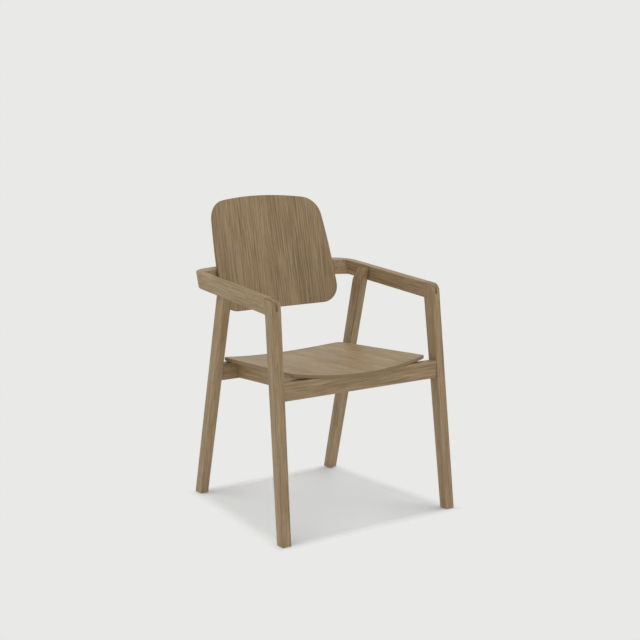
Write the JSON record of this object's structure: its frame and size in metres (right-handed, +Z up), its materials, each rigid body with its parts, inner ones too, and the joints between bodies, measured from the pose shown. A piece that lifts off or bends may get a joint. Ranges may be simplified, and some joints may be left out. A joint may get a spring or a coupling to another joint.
{
  "type": "wooden armchair",
  "caption": "Wooden armchair with slanted tapered legs, open arms that join a curved back rail, and hollow bent plywood seat and back panels.",
  "frame": {"origin": "on the floor, under the middle of the chair's overall width and depth", "axes": "+Z up, -Y towards the front, +X to the right as seen from the front"},
  "size_m": [0.594, 0.5878, 0.8895],
  "materials": {
    "stained_oak": "stained grey-brown, matt lacquer",
    "oak_veneered_plywood": "stained grey-brown oak veneer, matt lacquer",
    "beech": "bare turned or sawn",
    "zinc_plated_steel": "zinc plated",
    "brass": "turned",
    "glide_plastic": "moulded, matt"
  },
  "bodies": {
    "root": {"front_leg_left": "stained_oak", "front_leg_right": "stained_oak", "rear_leg_left": "stained_oak", "rear_leg_right": "stained_oak", "arm_left": "stained_oak", "arm_right": "stained_oak", "back_rail": "stained_oak", "front_rail": "stained_oak", "rear_rail": "stained_oak", "side_rail_left": "stained_oak", "side_rail_right": "stained_oak", "back_screw_plugs": "stained_oak", "front_leg_tenons": "stained_oak", "seat_panel": "oak_veneered_plywood", "back_panel": "oak_veneered_plywood", "rear_leg_tenons": "beech", "front_rail_tenons": "beech", "rear_rail_tenons": "beech", "side_rail_tenons": "beech", "corner_tenons": "beech", "seat_screws": "zinc_plated_steel", "back_screws": "zinc_plated_steel", "seat_inserts": "brass", "back_inserts": "brass", "foot_glides": "glide_plastic"}
  },
  "joints": []
}
